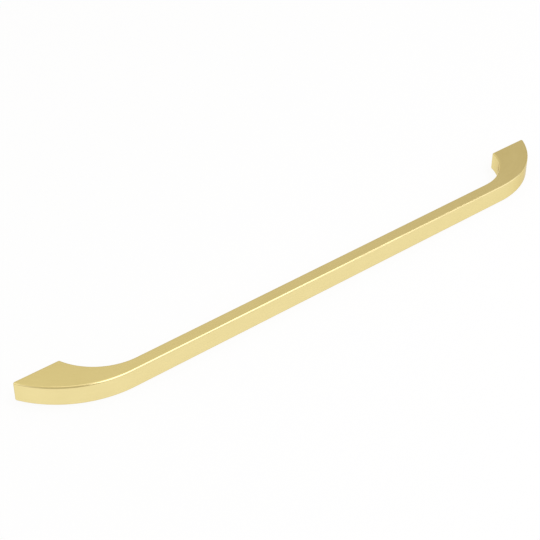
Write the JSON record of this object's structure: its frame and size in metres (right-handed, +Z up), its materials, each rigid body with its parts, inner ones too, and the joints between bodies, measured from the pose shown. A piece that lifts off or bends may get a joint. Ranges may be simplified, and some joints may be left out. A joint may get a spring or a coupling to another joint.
{
  "type": "cabinet pull handle",
  "caption": "Long flat bow handle for a drawer or door: a slim bar that sweeps back at both ends into broad flat feet with tapped screw holes.",
  "frame": {"origin": "midway between the two screw holes, on the plane where the feet meet the drawer front", "axes": "+X along the bar, +Y out of the feet into the drawer front, so the bar stands in front at -Y, and +Z up, across the bar's width"},
  "size_m": [0.3442, 0.0285, 0.0104],
  "materials": {
    "satin_brass": "satin"
  },
  "bodies": {
    "root": {"handle": "satin_brass"}
  },
  "joints": []
}
